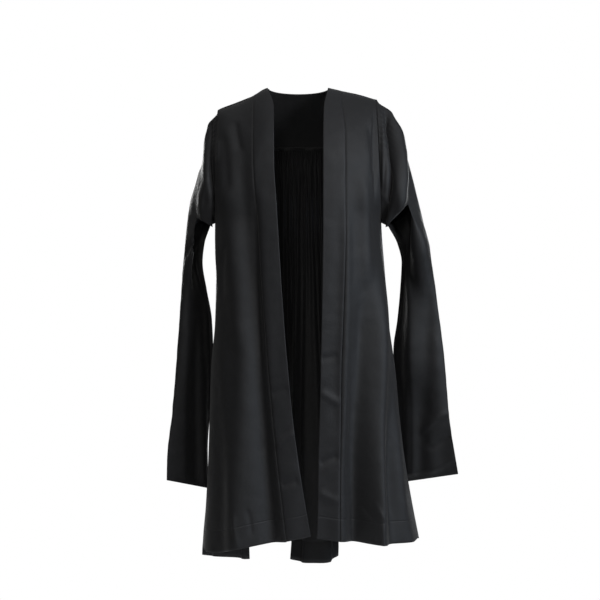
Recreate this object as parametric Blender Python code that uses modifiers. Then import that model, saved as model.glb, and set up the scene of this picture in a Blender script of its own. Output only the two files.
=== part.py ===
"""A master's graduation gown, worn open, as the pieces of cloth that a maker cuts and sews.

Metres, +Z up. The open front is towards -Y, and the gown's own left side towards +X. The
origin lies between the two neck points, where the gown is held. Sizes in the tables are
taken outwards from the middle line, on the side that each table is for.
"""

import math
from bisect import bisect_right
from collections import namedtuple

import bmesh
import bpy
from mathutils import Vector

# Cloth and seams
WALL = 0.0016
BAND_WALL = 0.0022
SIDE_SEAM = 0.0011
BAND_SEAM = 0.0009
YOKE_SEAM = 0.0010
ARMHOLE_SEAM = 0.0017
SHOULDER_SEAM = 0.0015
OVERLAY_GAP = 0.0009

# The worn shape
UNDERARM_Z = -0.345
YOKE_Z = -0.150
NECK_HALF_WIDTH = 0.078
NECK_BACK_Z = -0.012
NECK_BAND_WIDTH = 0.022
NECK_BAND_SETBACK = 0.0015
SHOULDER_ROUND = 0.190
SHOULDER_POWER = 0.56
SHOULDER_MIDDLE_X = 0.120
TOP_CROWDING = 1.4
SECTION_POWER = 2.5
ARMHOLE_WRAP = 0.09
ARMHOLE_WRAP_HEIGHT = 0.080
FOLD_FREE_SHARE = 0.86
TANGENT_STEP = 0.05

# Rows and columns of the grids
ARM_ROWS = 12
YOKE_ROWS = 4
BACK_ARM_ROWS = ARM_ROWS - YOKE_ROWS
FALL_ROWS = 12
CAP_ROWS = 6
FRONT_COLUMNS = 11
BAND_COLUMNS = 2
NECK_COLUMNS = 8
NECK_BAND_ROWS = 2
FOLD_COLUMNS = 6
SLIT_COLUMN = 4

Depth = namedtuple("Depth", "z front back")
DEPTHS = (
    Depth(0.00, 0.100, 0.120),
    Depth(-0.10, 0.115, 0.132),
    Depth(-0.20, 0.130, 0.140),
    Depth(-0.36, 0.142, 0.142),
    Depth(-0.80, 0.152, 0.146),
    Depth(-1.20, 0.166, 0.150),
)

# Opening edge, band seam and side seam, level by level
Level = namedtuple("Level", "z edge seam side")
RIGHT_LEVELS = (
    Level(0.00, 0.079, 0.116, 0.2060),
    Level(-0.05, 0.063, 0.115, 0.2067),
    Level(-0.12, 0.062, 0.115, 0.2077),
    Level(-0.20, 0.061, 0.114, 0.2091),
    Level(-0.28, 0.056, 0.110, 0.2105),
    Level(-0.36, 0.051, 0.105, 0.2119),
    Level(-0.48, 0.044, 0.097, 0.2125),
    Level(-0.60, 0.036, 0.087, 0.2155),
    Level(-0.72, 0.026, 0.077, 0.2260),
    Level(-0.84, 0.014, 0.066, 0.2300),
    Level(-0.96, -0.002, 0.053, 0.2340),
    Level(-1.06, -0.018, 0.041, 0.2393),
    Level(-1.20, -0.042, 0.024, 0.2485),
)
LEFT_LEVELS = (
    Level(0.00, 0.0760, 0.110, 0.2015),
    Level(-0.05, 0.0648, 0.113, 0.2023),
    Level(-0.12, 0.0625, 0.119, 0.2051),
    Level(-0.20, 0.0623, 0.119, 0.2082),
    Level(-0.28, 0.0621, 0.119, 0.2113),
    Level(-0.36, 0.0619, 0.118, 0.2144),
    Level(-0.48, 0.0605, 0.115, 0.2238),
    Level(-0.60, 0.0582, 0.111, 0.2333),
    Level(-0.72, 0.0559, 0.107, 0.2498),
    Level(-0.84, 0.0529, 0.106, 0.2611),
    Level(-0.96, 0.0498, 0.105, 0.2760),
    Level(-1.06, 0.0489, 0.104, 0.2930),
    Level(-1.20, 0.0440, 0.103, 0.3205),
)

# The shoulder line, outwards from the middle of the neck
Shoulder = namedtuple("Shoulder", "x z")
RIGHT_SHOULDER = (
    Shoulder(0.000, 0.007),
    Shoulder(0.040, 0.006),
    Shoulder(0.060, 0.004),
    Shoulder(0.079, 0.000),
    Shoulder(0.126, -0.024),
    Shoulder(0.162, -0.042),
    Shoulder(0.206, -0.059),
)
LEFT_SHOULDER = (
    Shoulder(0.000, 0.007),
    Shoulder(0.040, 0.006),
    Shoulder(0.060, 0.004),
    Shoulder(0.076, 0.001),
    Shoulder(0.134, -0.012),
    Shoulder(0.186, -0.026),
    Shoulder(0.202, -0.029),
)

# The fronts' hems, outwards from the middle line
Hem = namedtuple("Hem", "x z")
RIGHT_HEM = (
    Hem(-0.030, -1.135),
    Hem(0.019, -1.147),
    Hem(0.066, -1.157),
    Hem(0.117, -1.175),
    Hem(0.157, -1.187),
    Hem(0.200, -1.190),
    Hem(0.246, -1.186),
)
LEFT_HEM = (
    Hem(0.047, -1.141),
    Hem(0.098, -1.148),
    Hem(0.190, -1.161),
    Hem(0.245, -1.163),
    Hem(0.280, -1.156),
    Hem(0.312, -1.156),
)

# Soft folds of the fronts. Places are shares from the band seam to the side seam, at the
# underarm and at the hem; depths are outwards at the hem, and a fold grows from its start.
Fold = namedtuple("Fold", "above below half_width depth start")
RIGHT_FOLDS = (
    Fold(0.16, 0.16, 0.13, -0.010, 0.05),
    Fold(0.34, 0.56, 0.17, 0.020, 0.00),
    Fold(0.80, 0.80, 0.13, -0.012, 0.25),
)
LEFT_FOLDS = (
    Fold(0.02, 0.02, 0.10, 0.006, 0.10),
    Fold(0.16, 0.20, 0.13, -0.016, 0.20),
    Fold(0.46, 0.44, 0.14, 0.018, 0.15),
    Fold(0.70, 0.72, 0.11, -0.012, 0.30),
    Fold(0.88, 0.88, 0.08, 0.006, 0.40),
)

# The gathered back: crests and troughs of its flutes where they reach the hem, from the
# right side seam to the left one. Here x is signed.
Flute = namedtuple("Flute", "x y z")
Place = namedtuple("Place", "index x y z")
FLUTES = (
    Flute(-0.251, 0.036, -1.218),
    Flute(-0.186, 0.066, -1.230),
    Flute(-0.1295, 0.092, -1.240),
    Flute(-0.141, 0.200, -1.206),
    Flute(-0.078, 0.146, -1.198),
    Flute(-0.015, 0.208, -1.204),
    Flute(-0.022, 0.092, -1.240),
    Flute(0.054, 0.074, -1.248),
    Flute(0.106, 0.096, -1.231),
    Flute(0.100, 0.206, -1.200),
    Flute(0.162, 0.150, -1.196),
    Flute(0.205, 0.196, -1.190),
    Flute(0.246, 0.100, -1.182),
)
GATHER_DEPTH = 0.0035
GATHER_DEPTH_BELOW = 0.0075
GATHER_GROWTH = 0.110
FLUTE_POWER = 1.5
FLUTE_ROUNDNESS = 0.9

# Outer and inner edges of the sleeves
Run = namedtuple("Run", "z x y")
RIGHT_OUTER = (
    Run(-0.059, 0.2085, 0.000),
    Run(-0.070, 0.2235, 0.002),
    Run(-0.092, 0.2337, 0.004),
    Run(-0.130, 0.2400, 0.006),
    Run(-0.180, 0.2450, 0.008),
    Run(-0.235, 0.2600, 0.010),
    Run(-0.289, 0.2800, 0.012),
    Run(-0.360, 0.2905, 0.014),
    Run(-0.480, 0.3007, 0.015),
    Run(-0.600, 0.3094, 0.015),
    Run(-0.720, 0.3180, 0.014),
    Run(-0.840, 0.3295, 0.012),
    Run(-0.960, 0.3445, 0.010),
    Run(-1.020, 0.3462, 0.010),
)
LEFT_OUTER = (
    Run(-0.029, 0.2040, 0.000),
    Run(-0.050, 0.2356, 0.002),
    Run(-0.120, 0.2638, 0.006),
    Run(-0.200, 0.2875, 0.010),
    Run(-0.280, 0.3089, 0.012),
    Run(-0.360, 0.3280, 0.014),
    Run(-0.480, 0.3512, 0.015),
    Run(-0.600, 0.3680, 0.015),
    Run(-0.720, 0.3816, 0.014),
    Run(-0.840, 0.3924, 0.012),
    Run(-0.960, 0.4120, 0.010),
    Run(-1.020, 0.4225, 0.010),
)
RIGHT_INNER = (
    Run(-0.352, 0.228, 0.000),
    Run(-0.400, 0.245, 0.020),
    Run(-0.450, 0.251, 0.036),
    Run(-0.520, 0.241, 0.046),
    Run(-0.600, 0.228, 0.057),
    Run(-0.680, 0.225, 0.060),
    Run(-0.760, 0.229, 0.066),
    Run(-0.860, 0.235, 0.068),
    Run(-0.940, 0.240, 0.066),
    Run(-1.060, 0.239, 0.062),
)
LEFT_INNER = (
    Run(-0.355, 0.233, 0.000),
    Run(-0.400, 0.258, 0.020),
    Run(-0.450, 0.270, 0.036),
    Run(-0.520, 0.267, 0.046),
    Run(-0.600, 0.260, 0.052),
    Run(-0.680, 0.250, 0.056),
    Run(-0.760, 0.251, 0.058),
    Run(-0.860, 0.260, 0.060),
    Run(-0.960, 0.270, 0.062),
    Run(-1.060, 0.279, 0.064),
)

# Level lines round the sleeve at its slit, from the outer edge to the underarm seam
Loop = namedtuple("Loop", "share x y z")
RIGHT_LIP = (
    Loop(0.000, 0.2875, 0.013, -0.340),
    Loop(0.333, 0.2620, -0.030, -0.333),
    Loop(0.550, 0.2510, -0.060, -0.336),
    Loop(0.780, 0.2360, -0.048, -0.343),
    Loop(1.000, 0.2280, 0.000, -0.352),
)
RIGHT_LOW_LIP = (
    Loop(0.000, 0.2875, 0.013, -0.340),
    Loop(0.333, 0.2620, -0.030, -0.333),
    Loop(0.500, 0.2710, 0.016, -0.338),
    Loop(0.670, 0.2650, 0.044, -0.345),
    Loop(0.850, 0.2480, 0.042, -0.350),
    Loop(1.000, 0.2280, 0.000, -0.352),
)
RIGHT_BACK_LOOP = (
    Loop(0.000, 0.2875, 0.013, -0.340),
    Loop(0.250, 0.2860, 0.058, -0.340),
    Loop(0.500, 0.2680, 0.088, -0.342),
    Loop(0.750, 0.2440, 0.080, -0.348),
    Loop(1.000, 0.2280, 0.000, -0.352),
)
LEFT_LIP = (
    Loop(0.000, 0.3135, 0.013, -0.302),
    Loop(0.333, 0.2816, -0.034, -0.300),
    Loop(0.550, 0.2630, -0.064, -0.311),
    Loop(0.780, 0.2440, -0.050, -0.331),
    Loop(1.000, 0.2330, 0.000, -0.355),
)
LEFT_LOW_LIP = (
    Loop(0.000, 0.3135, 0.013, -0.302),
    Loop(0.333, 0.2816, -0.034, -0.300),
    Loop(0.500, 0.2910, 0.020, -0.308),
    Loop(0.670, 0.2770, 0.050, -0.324),
    Loop(0.850, 0.2500, 0.046, -0.344),
    Loop(1.000, 0.2330, 0.000, -0.355),
)
LEFT_BACK_LOOP = (
    Loop(0.000, 0.3135, 0.013, -0.302),
    Loop(0.250, 0.3080, 0.060, -0.306),
    Loop(0.500, 0.2860, 0.088, -0.320),
    Loop(0.750, 0.2520, 0.080, -0.340),
    Loop(1.000, 0.2330, 0.000, -0.355),
)

# The hanging sleeve down to its closed foot: half its thickness, how far its section bends
# backwards, and half the gap between the edges of its layers
Thick = namedtuple("Thick", "share half bulge edge")
SLEEVE_THICKNESS = (
    Thick(0.00, 0.0200, 0.070, 0.0020),
    Thick(0.15, 0.0195, 0.066, 0.0016),
    Thick(0.30, 0.0180, 0.055, 0.0012),
    Thick(0.60, 0.0130, 0.030, 0.0012),
    Thick(0.85, 0.0060, 0.014, 0.0012),
    Thick(1.00, 0.0000, 0.006, 0.0012),
)
SLEEVE_SETTLE = 0.36
SLIT_EDGE = 0.0006
CLOSED_EDGE = 0.0011
CAP_PUFF = 0.018
CAP_SWELL_SHARE = 0.12
CAP_SWELL_POWER = 1.5

Side = namedtuple(
    "Side",
    "name sign levels shoulder hem folds outer inner lip low_lip back_loop foot_outer foot_inner",
)
RIGHT = Side(
    "right", -1, RIGHT_LEVELS, RIGHT_SHOULDER, RIGHT_HEM, RIGHT_FOLDS,
    RIGHT_OUTER, RIGHT_INNER, RIGHT_LIP, RIGHT_LOW_LIP, RIGHT_BACK_LOOP, -1.017, -1.046,
)
LEFT = Side(
    "left", 1, LEFT_LEVELS, LEFT_SHOULDER, LEFT_HEM, LEFT_FOLDS,
    LEFT_OUTER, LEFT_INNER, LEFT_LIP, LEFT_LOW_LIP, LEFT_BACK_LOOP, -1.001, -1.030,
)


def mix(start, end, share):
    """The value, or point, at a share of the way from start to end."""
    return start * (1 - share) + end * share


def ease(share):
    """A share that starts and ends softly."""
    share = min(max(share, 0.0), 1.0)
    return share * share * (3 - 2 * share)


def read(rows, column, at):
    """A column of a table at a place between its rows, on a smooth curve that never overshoots them."""
    rows = sorted(rows)
    keys = [row[0] for row in rows]
    values = [getattr(row, column) for row in rows]
    at = min(max(at, keys[0]), keys[-1])
    place = min(bisect_right(keys, at) - 1, len(keys) - 2)

    def step(index):
        return (values[index + 1] - values[index]) / (keys[index + 1] - keys[index])

    def slope(index):
        if index == 0:
            return step(0)
        if index == len(keys) - 1:
            return step(index - 1)
        before, after = step(index - 1), step(index)
        return 0.0 if before * after <= 0 else 2 * before * after / (before + after)

    length = keys[place + 1] - keys[place]
    t = (at - keys[place]) / length
    return (
        values[place] * (1 + 2 * t) * (1 - t) ** 2
        + slope(place) * length * t * (1 - t) ** 2
        + values[place + 1] * t * t * (3 - 2 * t)
        + slope(place + 1) * length * t * t * (t - 1)
    )


def side_of(x):
    """The side that a signed x belongs to."""
    return LEFT if x >= 0 else RIGHT


def reach(side, z):
    """Half the width of the body's rounded section, which is wider than the panels at the armholes."""
    wrap = ARMHOLE_WRAP * ease((z - UNDERARM_Z) / ARMHOLE_WRAP_HEIGHT)
    return read(side.levels, "side", z) * (1 + wrap)


def body_depth(side, x, z, facing):
    """How far the body's cloth stands in front of the side seams, or behind them, at a place."""
    drop = max(read(side.shoulder, "z", abs(x)) - z, 0.0)
    rounding = (1 - (1 - min(drop / SHOULDER_ROUND, 1.0)) ** 2) ** SHOULDER_POWER
    full = read(DEPTHS, facing, z) * rounding
    share = min(abs(x) / reach(side, z), 1.0)
    return full * (1 - share**SECTION_POWER) ** (1 / SECTION_POWER)


def turn_of(side, x, z):
    """The angle round the body's section at a distance from the middle line."""
    share = min(abs(x) / reach(side, z), 1.0) ** (SECTION_POWER / 2)
    return math.copysign(math.asin(share), x)


def spaced(side, start, end, share, z):
    """The distance from the middle at a share of the way round the section between two others."""
    turn = mix(turn_of(side, start, z), turn_of(side, end, z), share)
    return math.copysign(reach(side, z) * abs(math.sin(turn)) ** (2 / SECTION_POWER), turn)


def outwards(side, x, z, facing):
    """The level direction that points out of the body's section, for a distance from the middle."""
    turn = turn_of(side, x, z)
    out = Vector((side.sign * math.sin(turn), math.cos(turn), 0.0))
    if facing == "front":
        out.y = -out.y
    return out


def front_point(side, start, end, across, fall):
    """A point of a front between two columns of the levels. fall is 0 at the shoulder, 1 at the
    underarm and 2 at the hem."""
    top_z = read(side.shoulder, "z", SHOULDER_MIDDLE_X)
    top_x = mix(read(side.levels, start, top_z), read(side.levels, end, top_z), across)
    shoulder_z = read(side.shoulder, "z", top_x)
    low_start, low_end = read(side.levels, start, side.hem[0].z), read(side.levels, end, side.hem[-1].z)
    hem_z = read(side.hem, "z", mix(low_start, low_end, across))
    z = mix(shoulder_z, UNDERARM_Z, fall**TOP_CROWDING) if fall < 1 else mix(UNDERARM_Z, hem_z, fall - 1)
    x = spaced(side, read(side.levels, start, z), read(side.levels, end, z), across, z)
    y = -body_depth(side, x, z, "front")
    seam_x = read(side.levels, "seam", z)
    share = (x - seam_x) / (read(side.levels, "side", z) - seam_x)
    point = Vector((side.sign * x, y, z)) + outwards(side, x, z, "front") * fold_depth(side, share, fall - 1)
    if fall < 1:
        point.y -= SHOULDER_SEAM / 2 * (1 - fall)
    return point


def fold_depth(side, share, down):
    """How far the folds of a front stand out at a share across it, below the underarm."""
    total = 0.0
    for fold in side.folds:
        growth = ease((down - fold.start) / (1 - fold.start)) if down > fold.start else 0.0
        away = (share - mix(fold.above, fold.below, max(down, 0.0))) / fold.half_width
        total += fold.depth * growth * math.exp(-away * away)
    return total * (1 - ease((share - FOLD_FREE_SHARE) / (1 - FOLD_FREE_SHARE)))


def armhole_point(side, facing, t):
    """The armhole's seam, from the shoulder's tip to the underarm."""
    tip_z = read(side.shoulder, "z", read(side.levels, "side", 0.0))
    if facing == "front":
        z = mix(tip_z, UNDERARM_Z, t**TOP_CROWDING)
    elif t * ARM_ROWS <= YOKE_ROWS:
        z = mix(tip_z, YOKE_Z, (t * ARM_ROWS / YOKE_ROWS) ** TOP_CROWDING)
    else:
        z = mix(YOKE_Z, UNDERARM_Z, (t * ARM_ROWS - YOKE_ROWS) / BACK_ARM_ROWS)
    x = read(side.levels, "side", z)
    depth = body_depth(side, x, z, facing)
    return Vector((side.sign * x, -depth if facing == "front" else depth, z))


def yoke_point(across, down):
    """A point of the yoke. across runs from the right armhole to the left one."""
    columns = FRONT_COLUMNS + BAND_COLUMNS
    total = 2 * columns + NECK_COLUMNS
    column = across * total
    if column < columns or column > columns + NECK_COLUMNS:
        side = RIGHT if column < columns else LEFT
        inwards = column if side is RIGHT else total - column
        top = shoulder_column(side, inwards)
    else:
        angle = math.pi * (column - columns) / NECK_COLUMNS
        top = Vector((-NECK_HALF_WIDTH * math.cos(angle), 0.0, NECK_BACK_Z * math.sin(angle)))
    right_end = armhole_point(RIGHT, "back", YOKE_ROWS / ARM_ROWS)
    left_end = armhole_point(LEFT, "back", YOKE_ROWS / ARM_ROWS)
    low = Vector((mix(right_end.x, left_end.x, across), 0.0, YOKE_Z))
    place = mix(top, low, down**TOP_CROWDING)
    if across in (0.0, 1.0):
        return armhole_point(side_of(low.x), "back", down * YOKE_ROWS / ARM_ROWS) + Vector(
            (0.0, SHOULDER_SEAM / 2 * (1 - down), 0.0)
        )
    depth = body_depth(side_of(place.x), place.x, place.z, "back")
    return Vector((place.x, depth + SHOULDER_SEAM / 2 * (1 - down), place.z))


def shoulder_column(side, inwards):
    """The shoulder seam's point at a column of the front or of its band, counted from the tip."""
    if inwards <= FRONT_COLUMNS:
        point = front_point(side, "seam", "side", 1 - inwards / FRONT_COLUMNS, 0.0)
    else:
        point = front_point(side, "edge", "seam", 1 - (inwards - FRONT_COLUMNS) / BAND_COLUMNS, 0.0)
    return Vector((point.x, 0.0, point.z))


def neck_band_point(across, down):
    """A point of the back neck band, which lies on the yoke along the neckline."""
    columns = FRONT_COLUMNS + BAND_COLUMNS
    total = 2 * columns + NECK_COLUMNS
    place = (columns + across * NECK_COLUMNS) / total
    here = yoke_point(place, 0.0)
    along = yoke_point(place, 0.5) - here
    share = (NECK_BAND_SETBACK + down * NECK_BAND_WIDTH) / (2 * along.length)
    point = yoke_point(place, share)
    sideways = yoke_point(place + 1 / total, share) - yoke_point(place - 1 / total, share)
    steep = yoke_point(place, share + TANGENT_STEP) - yoke_point(place, max(share - TANGENT_STEP, 0.0))
    normal = sideways.cross(steep).normalized()
    if normal.z < 0:
        normal.negate()
    return point + normal * (WALL + OVERLAY_GAP)


def flute_rows():
    """The flutes with the side seams added as first and last, each with its place in the row."""
    ends = [
        Flute(side.sign * read(side.levels, "side", side.hem[-1].z), SIDE_SEAM, side.hem[-1].z)
        for side in (RIGHT, LEFT)
    ]
    rows = [ends[0], *FLUTES, ends[1]]
    return [Place(index, *row) for index, row in enumerate(rows)]


def back_base(across, z):
    """The back at a level before its cloth is gathered. across runs between the two side seams."""
    right, left = read(RIGHT.levels, "side", z), read(LEFT.levels, "side", z)
    turn = mix(turn_of(RIGHT, -right, z), turn_of(LEFT, left, z), across)
    side = side_of(turn)
    round_x = math.copysign(reach(side, z) * abs(math.sin(turn)) ** (2 / SECTION_POWER), turn)
    x = mix(mix(-right, left, across), round_x, (2 * across - 1) ** 2)
    return Vector((x, body_depth(side, abs(x), z, "back") + SIDE_SEAM, z))


def back_point(rows, across, fall):
    """A point of the back. fall is 0 at the yoke's seam, 1 at the underarm and 2 at the hem."""
    last = rows[-1].index
    index = across * last
    rounded = index + FLUTE_ROUNDNESS * math.sin(2 * math.pi * index) / (2 * math.pi)
    hem = Vector((read(rows, "x", rounded), read(rows, "y", index), read(rows, "z", index)))
    z = mix(YOKE_Z - YOKE_SEAM, UNDERARM_Z, fall) if fall < 1 else mix(UNDERARM_Z, hem.z, fall - 1)
    base = back_base(across, z)
    down = (YOKE_Z - z) / (YOKE_Z - hem.z)
    edge = ease(min(index, last - index))
    depth = mix(GATHER_DEPTH, GATHER_DEPTH_BELOW, ease((YOKE_Z - z) / GATHER_GROWTH)) * (1 - down)
    gather = -math.cos(math.pi * index) * depth * edge
    spread = (hem - back_base(across, hem.z)) * down**FLUTE_POWER
    return base + outwards(side_of(base.x), abs(base.x), z, "back") * gather + spread


def row_point(rows, at):
    """The point that a table's x, y and z columns give at a place between its rows, with x outwards."""
    return Vector([read(rows, column, at) for column in ("x", "y", "z")])


def edge_point(rows, z):
    """A point on a sleeve's outer or inner edge, with x outwards."""
    return Vector((read(rows, "x", z), read(rows, "y", z), z))


def signed(side, point):
    """A point with x outwards, put on its side of the body."""
    return Vector((side.sign * point.x, point.y, point.z))


def cap_point(side, facing, t, down):
    """A point of the sleeve between the armhole and the slit. t is 0 at the outer edge."""
    gap = Vector((ARMHOLE_SEAM, 0.0, 0.0))
    seam = signed(side, armhole_point(side, facing, t)) + gap
    tip = signed(side, armhole_point(side, facing, 0.0)) + gap
    point = mix(seam, row_point(side.lip if facing == "front" else side.back_loop, t), down)
    straight = mix(tip, row_point(side.lip, 0.0), down)
    swell = edge_point(side.outer, straight.z) - straight
    point += swell * (1 - t) ** CAP_SWELL_POWER * ease(down / CAP_SWELL_SHARE)
    puff = CAP_PUFF * math.sin(math.pi * t) * math.sin(math.pi * down)
    lean = -1 if facing == "front" else 1
    point.y += lean * (SLIT_EDGE + puff)
    point.x += 0.5 * puff
    return signed(side, point)


def hanging_curve(side, facing, t, down):
    """A layer of the sleeve below the slit before its seam gap, with x outwards."""
    front = facing == "front"
    rim = row_point(side.low_lip if front else side.back_loop, t)
    outer_top, inner_top = (row_point(side.back_loop, end) for end in (0.0, 1.0))
    outer = edge_point(side.outer, mix(outer_top.z, side.foot_outer, down))
    inner = edge_point(side.inner, mix(inner_top.z, side.foot_inner, down))
    share = (1 - math.cos(math.pi * t)) / 2
    moved = rim + mix(outer - outer_top, inner - inner_top, share)
    across = inner - outer
    back_normal = Vector((across.y, -across.x, 0.0)).normalized()
    half = read(SLEEVE_THICKNESS, "half", down)
    bulge = read(SLEEVE_THICKNESS, "bulge", down) * t * t
    out = math.sin(math.pi * t) * (bulge - half if front else bulge + half)
    flat = mix(outer, inner, share) + back_normal * out
    return mix(moved, flat, ease(down / SLEEVE_SETTLE))


def hanging_point(side, facing, t, down):
    """A point of the sleeve below the slit. down is 0 at the slit and 1 at the closed foot."""

    def middle(at):
        at = min(max(at, 0.0), 1.0)
        return (hanging_curve(side, "front", at, down) + hanging_curve(side, "back", at, down)) / 2

    along = middle(t + TANGENT_STEP) - middle(t - TANGENT_STEP)
    back_normal = Vector((along.y, -along.x, 0.0)).normalized()
    edge = mix(mix(SLIT_EDGE, CLOSED_EDGE, down), read(SLEEVE_THICKNESS, "edge", down), t)
    lean = -1 if facing == "front" else 1
    return signed(side, hanging_curve(side, facing, t, down) + back_normal * edge * lean)


def cloth_material(name, colour, roughness):
    """Black gown cloth as a Principled material."""
    material = bpy.data.materials.new(name)
    material.use_nodes = True
    shader = material.node_tree.nodes["Principled BSDF"]
    shader.inputs["Base Color"].default_value = (*colour, 1.0)
    shader.inputs["Roughness"].default_value = roughness
    shader.inputs["Metallic"].default_value = 0.0
    return material


def cloth_piece(name, columns, rows, place, wall, collection, slit=None):
    """A piece of cloth: a grid whose points are placed by a function of column and row, made a wall.

    slit is a row and a column: the grid is cut along that row from that column to its last,
    and the points of the cut's lower side are placed with lower set."""
    mesh_data = bmesh.new()
    bmesh.ops.create_grid(mesh_data, x_segments=columns, y_segments=rows, size=1.0)

    def spot(vert):
        return round((vert.co.x + 1) / 2 * columns), round((1 - vert.co.y) / 2 * rows)

    if slit:
        on_slit = [vert for vert in mesh_data.verts if spot(vert)[1] == slit[0] and spot(vert)[0] >= slit[1]]
        cut = [edge for edge in mesh_data.edges if all(vert in on_slit for vert in edge.verts)]
        bmesh.ops.split_edges(mesh_data, edges=cut)
    placed = []
    for vert in mesh_data.verts:
        column, row = spot(vert)
        highest = max(face.calc_center_median().y for face in vert.link_faces)
        lower = bool(slit) and row == slit[0] and column > slit[1] and highest < vert.co.y
        placed.append((vert, place(column, row, lower)))
    for vert, point in placed:
        vert.co = point
    bmesh.ops.recalc_face_normals(mesh_data, faces=mesh_data.faces)
    mesh = bpy.data.meshes.new(name)
    mesh_data.to_mesh(mesh)
    mesh_data.free()
    mesh.shade_smooth()
    piece = bpy.data.objects.new(name, mesh)
    collection.objects.link(piece)
    solid = piece.modifiers.new("Wall", "SOLIDIFY")
    solid.thickness = wall
    solid.offset = 0.0
    return piece


def make_front(side, collection):
    """The front panel, from the band's seam to the side seam and the armhole."""

    def place(column, row, lower):
        across = column / FRONT_COLUMNS
        fall = row / ARM_ROWS if row <= ARM_ROWS else 1 + (row - ARM_ROWS) / FALL_ROWS
        point = front_point(side, "seam", "side", across, fall)
        if row < ARM_ROWS and column == FRONT_COLUMNS:
            seam = armhole_point(side, "front", fall)
            point = seam - Vector((0.0, SHOULDER_SEAM / 2 * (1 - fall), 0.0))
        return point

    return cloth_piece(f"front_{side.name}", FRONT_COLUMNS, ARM_ROWS + FALL_ROWS, place, WALL, collection)


def make_band(side, collection):
    """The doubled strip down the opening edge, a seam's gap from the front panel."""

    def place(column, row, lower):
        fall = row / ARM_ROWS if row <= ARM_ROWS else 1 + (row - ARM_ROWS) / FALL_ROWS
        point = front_point(side, "edge", "seam", column / BAND_COLUMNS, fall)
        if column == BAND_COLUMNS:
            point.x -= side.sign * BAND_SEAM
        return point

    return cloth_piece(
        f"front_band_{side.name}", BAND_COLUMNS, ARM_ROWS + FALL_ROWS, place, BAND_WALL, collection
    )


def make_yoke(collection):
    """The flat piece over both shoulders, down to the gathered seam."""
    columns = 2 * (FRONT_COLUMNS + BAND_COLUMNS) + NECK_COLUMNS

    def place(column, row, lower):
        return yoke_point(column / columns, row / YOKE_ROWS)

    return cloth_piece("yoke", columns, YOKE_ROWS, place, WALL, collection)


def make_neck_band(collection):
    """The band carried on round the back of the neck."""

    def place(column, row, lower):
        return neck_band_point(column / NECK_COLUMNS, row / NECK_BAND_ROWS)

    return cloth_piece("neck_band", NECK_COLUMNS, NECK_BAND_ROWS, place, WALL, collection)


def make_back(collection):
    """The wide back, gathered into the yoke and falling in flutes."""
    rows = flute_rows()
    columns = rows[-1].index * FOLD_COLUMNS

    def place(column, row, lower):
        fall = row / BACK_ARM_ROWS if row <= BACK_ARM_ROWS else 1 + (row - BACK_ARM_ROWS) / FALL_ROWS
        return back_point(rows, column / columns, fall)

    return cloth_piece("back", columns, BACK_ARM_ROWS + FALL_ROWS, place, WALL, collection)


def make_sleeve_layer(side, facing, collection):
    """One layer of a sleeve, from the armhole to the closed foot. The front layer has the arm slit."""

    def place(column, row, lower):
        t = column / ARM_ROWS
        if row < CAP_ROWS or (row == CAP_ROWS and not lower):
            return cap_point(side, facing, t, row / CAP_ROWS)
        return hanging_point(side, facing, t, (row - CAP_ROWS) / FALL_ROWS)

    slit = (CAP_ROWS, SLIT_COLUMN) if facing == "front" else None
    name = f"sleeve_{facing}_{side.name}"
    return cloth_piece(name, ARM_ROWS, CAP_ROWS + FALL_ROWS, place, WALL, collection, slit)


def main():
    """Empties the scene and makes the gown, piece by piece."""
    for old in list(bpy.data.objects):
        bpy.data.objects.remove(old)
    collection = bpy.data.collections.new("graduation_gown")
    bpy.context.scene.collection.children.link(collection)
    panel = cloth_material("gown_panel_cloth", (0.018, 0.018, 0.020), 0.78)
    band = cloth_material("gown_band_cloth", (0.020, 0.020, 0.022), 0.72)
    pieces = [make_yoke(collection), make_back(collection)]
    bands = [make_neck_band(collection)]
    for side in (RIGHT, LEFT):
        pieces.append(make_front(side, collection))
        pieces.append(make_sleeve_layer(side, "front", collection))
        pieces.append(make_sleeve_layer(side, "back", collection))
        bands.append(make_band(side, collection))
    for piece in pieces:
        piece.data.materials.append(panel)
    for piece in bands:
        piece.data.materials.append(band)


main()
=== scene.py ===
"""The looks of a master's graduation gown, worn open: black woven cloth with its folds, gathers and seams.

Metres, +Z up. The open front is towards -Y, and the gown's own left side towards +X. Places in
the tables are taken outwards from the middle line, on the side that each table is for.
"""

import math
from collections import namedtuple

import bmesh
import bpy
import numpy as np
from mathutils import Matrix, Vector, noise


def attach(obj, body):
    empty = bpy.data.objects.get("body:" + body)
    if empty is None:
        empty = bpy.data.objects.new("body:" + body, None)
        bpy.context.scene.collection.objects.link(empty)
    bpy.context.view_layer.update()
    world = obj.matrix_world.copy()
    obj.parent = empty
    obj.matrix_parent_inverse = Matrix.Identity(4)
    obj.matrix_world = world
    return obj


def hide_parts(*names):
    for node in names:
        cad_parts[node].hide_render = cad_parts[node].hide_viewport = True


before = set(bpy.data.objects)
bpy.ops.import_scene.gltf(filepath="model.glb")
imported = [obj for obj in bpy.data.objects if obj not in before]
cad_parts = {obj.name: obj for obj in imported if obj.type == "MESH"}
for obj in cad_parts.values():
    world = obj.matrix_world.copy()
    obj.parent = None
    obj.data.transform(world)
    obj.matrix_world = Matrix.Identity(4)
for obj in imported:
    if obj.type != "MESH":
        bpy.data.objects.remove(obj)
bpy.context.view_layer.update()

bl_info = {
    "name": "Graduation Gown",
    "version": (1, 0, 0),
    "blender": (4, 5, 0),
    "location": "View3D > Sidebar > Gown",
    "description": "Makes a graduation gown's cloth with its folds, gathers and seams, and a studio to show it in",
    "category": "Add Mesh",
}

BODY = "root"
FLOOR_Z = -1.50
FLOOR_RADIUS = 0.72
ROOM_LIGHT = 0.10

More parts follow.
